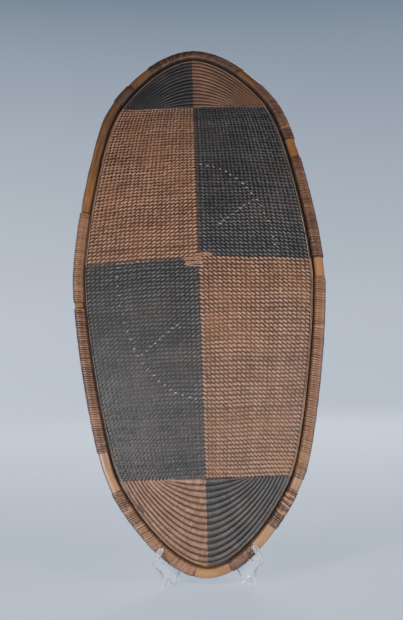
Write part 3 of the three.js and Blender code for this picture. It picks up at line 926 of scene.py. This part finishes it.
def winding(number, start, end):
    """One wound stretch: a strip that runs round and round the hoop."""
    turns = int((end - start) / STRIP_PITCH)
    turn = np.arange(turns * TURN_POINTS + 1) / TURN_POINTS
    which = np.minimum(turn.astype(int), turns - 1)
    ahead, raised, lighter = rng.normal(0, 1, (3, turns + 2))
    angle = -2 * math.pi * turn + math.pi
    run = start + (turn + 0.5) * (end - start) / (turns + 1)
    run = run + 0.00035 * np.interp(turn, np.arange(turns + 2), ahead)
    from_top = (run + 0.5 * RIM_LENGTH) % RIM_LENGTH - 0.5 * RIM_LENGTH
    steep = np.clip(1 - np.abs(from_top - STEEP_PLACE) / STEEP_REACH, 0, 1)
    run = run + (STRIP_LEAN + STEEP_LEAN * steep) * np.cos(angle)
    lift = 0.0002 * np.interp(turn, np.arange(turns + 2), raised)
    centre, normal = rim_surface(run, angle, (lift - STRIP_THICKNESS * 0.35)[:, None])
    before, _ = rim_surface(run - RIM_NEARBY, angle, lift[:, None])
    after, _ = rim_surface(run + RIM_NEARBY, angle, lift[:, None])
    tone = rim_tone(run) + 0.11 * lighter[which]
    for pale in PALE_TURNS:
        tone = np.where(np.abs(run - pale) < STRIP_PITCH * 0.6, PALE_TONE, tone)
    side = unit(after - before) * (STRIP_PITCH * 0.49)
    up = normal * (STRIP_THICKNESS * 0.5)
    verts, faces = tubes(centre[None], side[None], up[None], STRAND_SIDES)
    values = {"tone": per_point(np.clip(tone, 0, 1)[None], STRAND_SIDES),
              "shade": per_point(hoop_shade(angle)[None], STRAND_SIDES)}
    obj = make_object(f"rim_winding_{number}", verts, faces, STRIP, values)
    finish_piece(obj, "cane_strip", f"rim_binding_{number}")


CORD_SHADE = 0.15
BEAD = 0.82


def edge_cord(name, inset, size, front, tone, material):
    """A beaded strand that follows the rim on the inside."""
    left = OUTLINE[:, 0] < 0
    drawn = inset - np.where(left, left_gain(OUTLINE[:, 1]), 0)
    points = edge(drawn[:, None])[::2]
    bead = np.where(np.arange(len(points)) % 2, 1.0, BEAD)
    radius = size / 2 * bead
    flat = np.concatenate([points, np.full((len(points), 1), front)], -1)
    side = left_of(loop_run(flat)) * radius[:, None]
    verts, faces = ring_tube(flat, side, frontward(radius), STRAND_SIDES)
    # Narrow beads get a slightly lower tone: painted shade in the pinches
    uneven = rng.normal(0, 0.10, len(points)) + 0.3 * (bead - 0.9)
    values = {
        "tone": np.repeat(np.clip(tone(points) + uneven, 0, 1), STRAND_SIDES),
        "dye": np.repeat(dye_at(*points.T).astype(float), STRAND_SIDES),
        "shade": np.full(len(verts), CORD_SHADE),
    }
    finish_piece(make_object(name, place(verts), faces, material, values), "twined_fibre")


def edge_cords():
    """The selvedge: a woven strip, and a fine pale strand that is lighter on the upper half."""
    def woven(points):
        return 0.36 + 0.12 * blotch(*points.T, 0.12, 6)

    def pale(points):
        upper = np.clip((points[:, 1] + 0.05) / 0.10, 0, 1)
        return 0.16 + 0.34 * upper + 0.16 * blotch(*points.T, 0.09, 9)

    edge_cord("selvedge_strip", 0.0262, 0.0040, GROUND_FRONT + 0.0010, woven, FIBRE)
    edge_cord("selvedge_strand", 0.0290, 0.0016, GROUND_FRONT + 0.0028, pale, PALE)


# The back's hoop and sticks, with their ends as distances from the middle, across and along
BACK_HOOP_HALF_WIDTH = 0.160
BACK_HOOP_HALF_LENGTH = 0.247
BACK_ROD = 0.009
BACK_FACE = BODY_BACK - 0.0022
ROD_SINK = 0.8
ROD_SIDES = 12
ROD_SHADE = 0.12
STICK_INNER = (0.017, 0.077)
STICK_OUTER = (0.114, 0.159)
STICK_STITCHED_TO = (0.045, 0.104)
STICKS = (("upper_left", -1, 1), ("upper_right", 1, 1), ("lower_left", -1, -1), ("lower_right", 1, -1))


def back_oval(turn):
    return np.stack([BACK_HOOP_HALF_WIDTH * np.sin(turn), BACK_HOOP_HALF_LENGTH * np.cos(turn)], -1)


def stick_end(end, side, rise):
    return np.array([side * end[0], rise * end[1]])


def between(first, last, t):
    return first * (1 - t) + last * t


# Stitches that hold what is sewn on the back

STITCH_TURN = 4.5
STICK_STITCHES = 9
LEFT_ROW = (-0.160, -0.100)
LEFT_ROW_STITCHES = 7
LEFT_ROW_DROP = 0.004
STITCH_SIZES = (0.0016, 0.0028)
STITCH_LIFT = 0.0048
STITCH_TUCK = 0.0012
SEEN_ON_BLACK = 0.97
SEEN_ON_BROWN = 0.25


def stitch_places():
    """Round the back hoop, along the outer part of the four sticks, and in one row on the left."""
    lines = [back_oval(np.radians(np.arange(0, 360, STITCH_TURN)))]
    t = np.linspace(0, 1, STICK_STITCHES)[:, None]
    for side, rise in ((-1, -1), (1, 1), (1, -1), (-1, 1)):
        outer = stick_end(STICK_OUTER, side, rise)
        lines.append(between(outer, stick_end(STICK_STITCHED_TO, side, rise), t))
    across = np.linspace(*LEFT_ROW, LEFT_ROW_STITCHES)
    lines.append(np.stack([across, 0 * across + CROSSING - LEFT_ROW_DROP], -1))
    return np.concatenate(lines)


def stitches():
    """Short pale strands over the rows."""
    points = stitch_places()
    seen = dye_at(*points.T)
    points = points + rng.normal(0, 0.0008, points.shape)
    keep = rng.random(len(points)) < np.where(seen, SEEN_ON_BLACK, SEEN_ON_BROWN)
    points, seen = points[keep], seen[keep]
    lean = rng.normal(0.3, 0.3, len(points)) * np.sign(-points[:, 0])
    size = rng.uniform(*STITCH_SIZES, len(points))
    t = np.linspace(-1, 1, 5)
    x = points[:, :1] + size[:, None] * np.cos(lean)[:, None] * t
    y = points[:, 1:] + size[:, None] * np.sin(lean)[:, None] * t
    n = GROUND_FRONT + STITCH_LIFT - STITCH_TUCK * t ** 2 + 0 * x
    width = 0.0010 * (1 - 0.5 * t ** 4)
    tone = np.where(seen, 0.72, 0.40) + rng.normal(0, 0.16, len(points))
    tone = np.clip(tone, 0, 1)[:, None]
    path = np.stack([x, y, n], -1)
    strands("hoop_stitches", path, width, 0.0007, PALE, "bare_cane", tone=tone, shade=0)


# The back

LASHING_WIDTH = 0.0017
LASHING_HEIGHT = 0.0010
LASHING_SHADE = 0.1
LASHING_TURNS = (-0.0036, 0.0, 0.0036)
LASHING_REACH = BACK_ROD * 0.62
LASHING_STAND = BACK_ROD * 0.98
HOOP_LASHING_STEP = 10
STICK_LASHINGS = (0.2, 0.5, 0.8)


def back_rod(name, route, looped, node):
    """A cane rod on the back, closed or with two ends."""
    flat = np.concatenate([route, np.full((len(route), 1), BACK_FACE - BACK_ROD / 2 * ROD_SINK)], -1)
    run = loop_run(flat) if looped else unit(np.gradient(flat, axis=0))
    step = np.arange(len(route))
    radius = BACK_ROD / 2 * (1 + 0.05 * np.sin(step * 0.35))
    side = left_of(run) * radius[:, None]
    up = frontward(radius)
    tone = 0.5 + 0.12 * np.sin(step * 0.21)
    if looped:
        verts, faces = ring_tube(flat, side, up, ROD_SIDES)
        tone = np.repeat(tone, ROD_SIDES)
    else:
        verts, faces = tubes(flat[None], side[None], up[None], ROD_SIDES)
        tone = per_point(tone[None], ROD_SIDES)
    values = {"tone": tone, "shade": np.full(len(verts), ROD_SHADE)}
    finish_piece(make_object(name, place(verts), faces, BARE, values), "bare_cane", node)


def rod_lashings(centres, runs):
    """Turns of strand that hold the rods to the back."""
    t = np.linspace(-1, 1, 9)
    n = BACK_FACE - LASHING_STAND * np.sqrt(np.clip(1 - t ** 2, 0, 1))
    paths = []
    for (x, y), (rx, ry) in zip(centres, runs):
        for shift in LASHING_TURNS:
            px = x + rx * shift - ry * LASHING_REACH * t
            py = y + ry * shift + rx * LASHING_REACH * t
            paths.append(np.stack([px, py, n], -1))
    tone = np.clip(0.6 + 0.15 * rng.normal(0, 1, (len(paths), 1)), 0, 1)
    strands("back_lashings", np.array(paths), LASHING_WIDTH, LASHING_HEIGHT, PALE, "cane_strip",
            tone=tone, shade=LASHING_SHADE)


def back():
    """The oval hoop, the four sticks and their lashings."""
    oval = back_oval(np.linspace(0, 2 * math.pi, 240, endpoint=False))
    back_rod("back_hoop_cane", oval, True, "back_hoop")
    centres = list(oval[::HOOP_LASHING_STEP])
    runs = list(loop_run(oval)[::HOOP_LASHING_STEP])
    t = np.linspace(0, 1, 30)[:, None]
    for name, side, rise in STICKS:
        inner = stick_end(STICK_INNER, side, rise)
        outer = stick_end(STICK_OUTER, side, rise)
        back_rod(f"back_stick_{name}", between(inner, outer, t), False, f"back_strut_{name}")
        for where in STICK_LASHINGS:
            centres.append(between(inner, outer, where))
            runs.append(unit(outer - inner))
    rod_lashings(centres, runs)


GRIP_LENGTH = 0.250
GRIP_WIDTH = 0.024
GRIP_DEPTH = 0.017
GRIP_REACH = 0.044
GRIP_FACE = BODY_BACK - 0.0024
GRIP_FLAT = 0.35
GRIP_SLOPE = 0.45
GRIP_TAPER = 0.35
GRIP_BELLY = 0.08
GRIP_SIDES = 20
GRIP_LASHING_PLACE = 0.111
GRIP_LASHING_ASIDE = 0.0045
GRIP_LASHING_TURNS = (-0.003, 0.0, 0.003)
GRIP_LASHING_REACH = 0.0115
GRIP_LASHING_STAND = 0.0142
GRIP_LASHING_WIDTH = 0.0016
GRIP_LASHING_TONE = 0.55


def grip():
    """A carved bar: its ends lie on the back and its middle stands off for the hand."""
    t = np.linspace(-1, 1, 121)
    step = np.clip((np.abs(t) - GRIP_FLAT) / GRIP_SLOPE, 0, 1)
    arch = GRIP_REACH * (1 - step * step * (3 - 2 * step))
    taper = 1 - GRIP_TAPER * np.abs(t) ** 4
    belly = 1 + GRIP_BELLY * np.cos(t * 3.2)
    depth = GRIP_DEPTH / 2 * taper
    flat = np.stack([0 * t, GRIP_LENGTH / 2 * t, GRIP_FACE - depth - arch], -1)
    side = np.stack([GRIP_WIDTH / 2 * taper * belly, 0 * t, 0 * t], -1)
    verts, faces = tubes(flat[None], side[None], frontward(depth)[None], GRIP_SIDES)
    finish_piece(make_object("grip_bar", place(verts), faces, WOOD), "grip_wood", "grip")


def grip_lashings():
    """Turns of strand over both ends of the grip."""
    a = np.linspace(-1, 1, 13)
    n = BACK_FACE - GRIP_LASHING_STAND * np.sqrt(np.clip(1 - a ** 4, 0, 1))
    paths = []
    for end in (-1, 1):
        for aside in (-GRIP_LASHING_ASIDE, GRIP_LASHING_ASIDE):
            for shift in GRIP_LASHING_TURNS:
                y = end * GRIP_LASHING_PLACE + aside + shift + 0.001 * a
                paths.append(np.stack([GRIP_LASHING_REACH * a, y, n], -1))
    strands("grip_lashings", np.array(paths), GRIP_LASHING_WIDTH, LASHING_HEIGHT, PALE, "cane_strip",
            tone=GRIP_LASHING_TONE, shade=LASHING_SHADE)


# The easel

EASEL_ROUNDING = 0.0011
EASEL_SAME_POINT = 0.00002
EASEL_FLAT = math.radians(2)
EASEL_ROUNDED_FROM = math.radians(50)
EASEL_SHARP_FROM = math.radians(45)


def easel_plate(name, node):
    """A plate of the easel with its edges rounded."""
    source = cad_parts[node]
    mesh = source.data.copy()
    obj = bpy.data.objects.new(name, mesh)
    bpy.context.scene.collection.objects.link(obj)
    obj.matrix_world = source.matrix_world.copy()
    work = bmesh.new()
    work.from_mesh(mesh)
    bmesh.ops.remove_doubles(work, verts=work.verts, dist=EASEL_SAME_POINT)
    bmesh.ops.dissolve_limit(work, angle_limit=EASEL_FLAT, verts=work.verts, edges=work.edges)
    work.to_mesh(mesh)
    work.free()
    mesh.materials.clear()
    mesh.materials.append(CLEAR)
    rounded = obj.modifiers.new("rounded_edges", "BEVEL")
    rounded.width = EASEL_ROUNDING
    rounded.segments = 3
    rounded.limit_method = "ANGLE"
    rounded.angle_limit = EASEL_ROUNDED_FROM
    rounded.harden_normals = False
    mesh.polygons.foreach_set("use_smooth", np.ones(len(mesh.polygons), bool))
    mesh.set_sharp_from_angle(angle=EASEL_SHARP_FROM)
    finish_piece(obj, "clear_plastic", node)


# Stage, light and camera

FLOOR_RADIUS = 3.4
FLOOR_RINGS = (0.01, 0.6, 1.6, 2.6)
COVE_RADIUS = 2.4
COVE_STEPS = 20
WALL_HEIGHT = 3.2
STAGE_SIDES = 96
FLOOR_ROUGHNESS = 0.85
# Floor paint, and a wall paint that paints shade as darkening up the wall
FLOOR_PAINT = (0.56, 0.66, 0.82, 1)
SHADED_WALL_PAINT = (0.24, 0.27, 0.31, 1)
FLOOR_GLOW = (0.86, 1.02, 1.32, 1)
WALL_GLOW = (0.10, 0.122, 0.148, 1)
NO_GLOW = (0.0, 0.0, 0.0, 1)
GLOW_STRENGTH = 0.8

WARM = (1.0, 0.975, 0.94)
WHITE = (1.0, 1.0, 1.0)
COOL = (0.97, 0.98, 1.0)
SKY = (0.78, 0.86, 0.95, 1)
SKY_STRENGTH = 0.10
# Name, place, aim, size of the disk, watts, colour and width of the beam in degrees
LIGHTS = (
    ("left_softbox", (-1.9, -2.0, 0.42), (-0.05, 0, 0.33), 1.0, 8.3, WARM, 46),
    ("right_softbox", (2.0, -1.9, 0.40), (0.05, 0, 0.30), 1.0, 7.2, WARM, 46),
    ("foot_light", (-0.9, -1.9, 1.5), (0, -0.15, 0.0), 0.2, 0.2, WHITE, 22),
    ("rear_softbox", (0.6, 2.6, 1.8), (0, 0, 0.5), 1.6, 40, COOL, 180),
)

# The camera, by the place of the fields' crossing in the picture
PICTURE_HEIGHT = 620
FOCAL_PIXELS = 1100
CAMERA_DISTANCE = 2.2
CAMERA_SIDE = 0.0029
CAMERA_DROP = 0.093
CAMERA_ROLL = math.radians(1.9)
SENSOR = 36.0


def floor_material():
    """Pale paint, darker up the wall as painted shade, that glows as painted light: more away from the
    shield, less up the wall and to the right.
    """
    material, tree, shader = new_material("pale_floor")
    shader.inputs["Roughness"].default_value = FLOOR_ROUGHNESS
    where = tree.nodes.new("ShaderNodeTexCoord").outputs["Object"]
    parts = tree.nodes.new("ShaderNodeSeparateXYZ")
    tree.links.new(where, parts.inputs[0])
    level = parts.outputs["Z"]
    paint = mix_colour(tree, spread(tree, level, 0.0, 0.8), FLOOR_PAINT, SHADED_WALL_PAINT)
    tree.links.new(paint, shader.inputs["Base Color"])
    glow = mix_colour(tree, spread(tree, level, 0.5, 2.9), FLOOR_GLOW, WALL_GLOW)
    aside = spread(tree, parts.outputs["X"], -1.6, 1.6, 0.0, 0.24)
    glow = mix_colour(tree, aside, glow, NO_GLOW)
    reach = tree.nodes.new("ShaderNodeVectorMath")
    reach.operation = "LENGTH"
    tree.links.new(where, reach.inputs[0])
    far = spread(tree, reach.outputs["Value"], 0.3, 2.6, 0.42, 1.0)
    glow = mix_colour(tree, far, NO_GLOW, glow)
    tree.links.new(glow, shader.inputs["Emission Color"])
    shader.inputs["Emission Strength"].default_value = GLOW_STRENGTH
    return material


def stage_cove():
    """A pale floor that curves up into a wall all round."""
    turn = np.linspace(0, math.pi / 2, COVE_STEPS)
    wall = [FLOOR_RADIUS + COVE_RADIUS]
    radius = np.concatenate([FLOOR_RINGS, FLOOR_RADIUS + COVE_RADIUS * np.sin(turn), wall])
    cove = COVE_RADIUS * (1 - np.cos(turn))
    height = np.concatenate([np.zeros(len(FLOOR_RINGS)), cove, [COVE_RADIUS + WALL_HEIGHT]])
    angle = 2 * math.pi * np.arange(STAGE_SIDES) / STAGE_SIDES
    verts = np.stack([radius[:, None] * np.cos(angle), radius[:, None] * np.sin(angle),
                      height[:, None] + 0 * angle], -1).reshape(-1, 3)
    i, j = np.meshgrid(np.arange(len(radius) - 1), np.arange(STAGE_SIDES), indexing="ij")
    row, after = i * STAGE_SIDES, (j + 1) % STAGE_SIDES
    following = row + STAGE_SIDES
    quads = np.stack([row + j, following + j, following + after, row + after], -1)
    centre = np.arange(STAGE_SIDES)[None]
    obj = make_object("floor_cove", verts, [quads.reshape(-1, 4), centre], floor_material())


def area_light(name, spot, aim, size, watts, colour, beam):
    data = bpy.data.lights.new(name, "AREA")
    data.shape = "DISK"
    data.size = size
    data.energy = watts
    data.color = colour
    data.spread = math.radians(beam)
    obj = bpy.data.objects.new(name, data)
    bpy.context.scene.collection.objects.link(obj)
    obj.location = spot
    obj.visible_camera = False
    direction = np.array(aim) - np.array(spot)
    obj.rotation_euler = (math.atan2(math.hypot(direction[0], direction[1]), -direction[2]), 0,
                          math.atan2(direction[1], direction[0]) - math.pi / 2)


def sky():
    world = bpy.data.worlds.new("studio")
    bpy.context.scene.world = world
    world.use_nodes = True
    background = world.node_tree.nodes["Background"]
    background.inputs["Color"].default_value = SKY
    background.inputs["Strength"].default_value = SKY_STRENGTH


def camera():
    data = bpy.data.cameras.new("camera")
    obj = bpy.data.objects.new("camera", data)
    bpy.context.scene.collection.objects.link(obj)
    data.sensor_width = SENSOR
    data.lens = SENSOR * FOCAL_PIXELS / PICTURE_HEIGHT
    back_of = BOW_RADIUS * (math.cos(BOW_START) - math.cos(LEAN))
    up = BOW_RADIUS * (math.sin(LEAN) - math.sin(BOW_START)) + FLOOR_CLEARANCE
    crossing = np.array([0, back_of, up]) + SHIFT
    obj.location = crossing + np.array([CAMERA_SIDE, -CAMERA_DISTANCE, -CAMERA_DROP])
    obj.rotation_euler = (math.pi / 2, CAMERA_ROLL, 0)
    bpy.context.scene.camera = obj


camera()
ground()
back_rows()
fields()
crossing_strands()
for quarter in TIPS:
    tip(*quarter)
rim_hoop()
for number, (start, end) in enumerate(WOUND, 1):
    winding(number, start, end)
edge_cords()
stitches()
back()
grip()
grip_lashings()
easel_plate("easel_plate_left", "stand_plate_left")
easel_plate("easel_plate_right", "stand_plate_right")
stage_cove()
for light in LIGHTS:
    area_light(*light)
sky()
